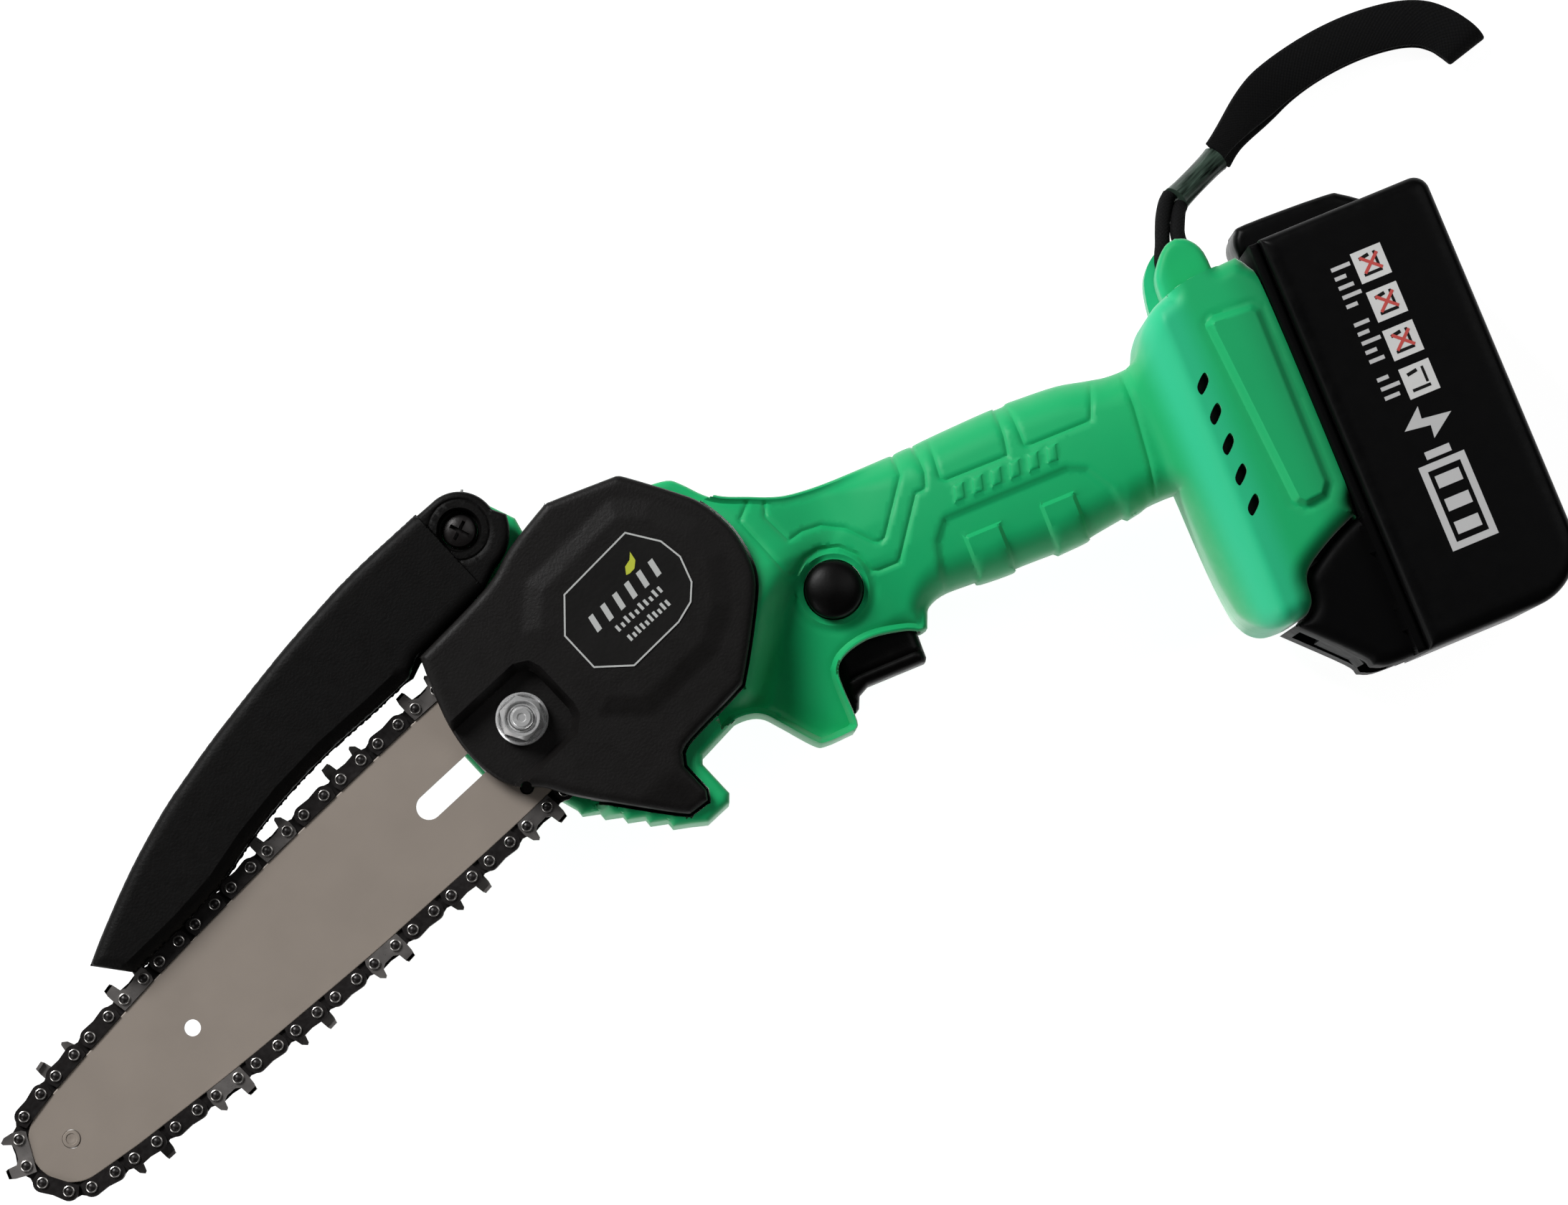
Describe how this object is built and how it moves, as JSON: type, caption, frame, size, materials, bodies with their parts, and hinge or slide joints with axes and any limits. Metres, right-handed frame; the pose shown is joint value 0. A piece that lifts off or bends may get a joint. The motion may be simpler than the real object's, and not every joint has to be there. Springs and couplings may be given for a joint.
{
  "type": "pruning chainsaw",
  "caption": "Hand-held battery pruning chainsaw with a short guide bar, swing-up chain guard, trigger handle, slide-off battery pack and wrist strap.",
  "frame": {"origin": "on the drive sprocket's axis, in the plane that the saw rests on when it lies on its right side, at the flat outer face of the motor cap", "axes": "+X along the guide bar's axis from the nose towards the battery, +Y towards the saw's top side with the guard, +Z towards the saw's left side with the chain cover, up when the saw lies down"},
  "size_m": [0.4642, 0.2069, 0.075],
  "materials": {
    "green_plastic": "moulded",
    "black_plastic": "fine texture",
    "battery_plastic": "satin",
    "grey_plastic": "moulded",
    "bar_steel": "ground",
    "bright_steel": "zinc plated",
    "dark_steel": "blackened",
    "aluminium": "as cast",
    "copper": "bare",
    "red_insulation": "smooth",
    "black_insulation": "smooth",
    "cell_wrap": "shrink wrap",
    "board_green": "solder mask",
    "woven_black": "woven",
    "clear_sleeve": "translucent",
    "badge": "printed"
  },
  "bodies": {
    "housing": {"housing_left": "green_plastic", "housing_right": "green_plastic", "motor_cap": "black_plastic", "chain_cover": "black_plastic", "motor_end_bell": "black_plastic", "switch_module": "grey_plastic", "terminal_block": "grey_plastic", "bar_stud": "bright_steel", "bar_nut": "bright_steel", "bar_plate": "bright_steel", "front_bearing": "bright_steel", "rear_bearing": "bright_steel", "motor_can": "bright_steel", "guard_bush": "bright_steel", "guard_spring": "bright_steel", "trigger_spring": "bright_steel", "lock_spring": "bright_steel", "saw_chain": "dark_steel", "magnet_upper": "dark_steel", "magnet_lower": "dark_steel", "guard_screw": "dark_steel", "housing_screw_1": "dark_steel", "housing_screw_2": "dark_steel", "housing_screw_3": "dark_steel", "housing_screw_4": "dark_steel", "housing_screw_5": "dark_steel", "housing_screw_6": "dark_steel", "gear_plate": "aluminium", "terminal_plus": "copper", "terminal_minus": "copper", "battery_lead_red": "red_insulation", "motor_lead_red": "red_insulation", "battery_lead_black": "black_insulation", "motor_lead_black": "black_insulation", "strap_cord": "woven_black", "strap_webbing": "woven_black", "strap_sleeve": "clear_sleeve", "cover_badge": "badge"},
    "guard": {"guard": "black_plastic"},
    "trigger": {"trigger": "black_plastic"},
    "lock_button": {"lock_button": "black_plastic"},
    "bar": {"guide_bar": "bar_steel", "nose_rivet": "bar_steel", "tensioner_pin": "dark_steel"},
    "nose_sprocket": {"nose_sprocket": "bright_steel"},
    "tensioner_screw": {"tensioner_screw": "bright_steel"},
    "drive": {"sprocket_shaft": "bright_steel", "drive_gear": "dark_steel", "drive_sprocket": "bright_steel", "sprocket_clip": "dark_steel"},
    "rotor": {"motor_armature": "copper", "motor_shaft": "bright_steel", "motor_pinion": "bright_steel", "motor_fan": "black_plastic"},
    "battery": {"battery_case": "battery_plastic", "battery_top": "battery_plastic", "cell_pack": "cell_wrap", "battery_board": "board_green", "latch_spring": "bright_steel"},
    "battery_latch": {"battery_latch": "grey_plastic"}
  },
  "joints": [
    {"name": "guard_swing", "type": "hinge", "parent": "housing", "child": "guard", "pos_m": [-0.019, 0.0449, 0.057], "axis": [0, 0, -1], "range_deg": [0, 55], "stiffness_Nm_per_rad": 0.05, "springref_deg": -22.92, "deforming": ["guard_spring"]},
    {"name": "trigger_pull", "type": "slide", "parent": "housing", "child": "trigger", "axis": [0.3502, 0.9367, 0], "range_m": [0, 0.0065], "stiffness_N_per_m": 600, "springref_m": -0.004, "deforming": ["trigger_spring"]},
    {"name": "lock_press", "type": "slide", "parent": "housing", "child": "lock_button", "axis": [0, 0, -1], "range_m": [0, 0.003], "stiffness_N_per_m": 500, "springref_m": -0.003, "deforming": ["lock_spring"]},
    {"name": "sprocket_spin", "type": "hinge", "parent": "housing", "child": "drive", "pos_m": [0, 0, 0.055], "axis": [0, 0, 1], "continuous": true, "deforming": ["saw_chain"]},
    {"name": "motor_spin", "type": "hinge", "parent": "housing", "child": "rotor", "pos_m": [0.01723, -0.00644, 0.025], "axis": [0, 0, 1], "continuous": true},
    {"name": "tensioner_turn", "type": "hinge", "parent": "housing", "child": "tensioner_screw", "pos_m": [-0.05, -0.013, 0.0463], "axis": [-1, 0, 0], "range_deg": [0, 1439]},
    {"name": "bar_tension", "type": "slide", "parent": "housing", "child": "bar", "axis": [1, 0, 0], "range_m": [0, 0.00299]},
    {"name": "nose_spin", "type": "hinge", "parent": "bar", "child": "nose_sprocket", "pos_m": [-0.1913, 0, 0.055], "axis": [0, 0, 1], "continuous": true},
    {"name": "battery_slide", "type": "slide", "parent": "housing", "child": "battery", "axis": [-0.3502, -0.9367, 0], "range_m": [0, 0.08]},
    {"name": "latch_press", "type": "slide", "parent": "battery", "child": "battery_latch", "axis": [0.9367, -0.3502, 0], "range_m": [0, 0.0035], "stiffness_N_per_m": 400, "springref_m": -0.003, "deforming": ["latch_spring"]}
  ],
  "couplings": [
    {"joint": "motor_spin", "follows": "sprocket_spin", "ratio": -3.6},
    {"joint": "nose_spin", "follows": "sprocket_spin", "ratio": 1.1667},
    {"joint": "tensioner_turn", "follows": "bar_tension", "rad_per_m": 8377.6}
  ]
}
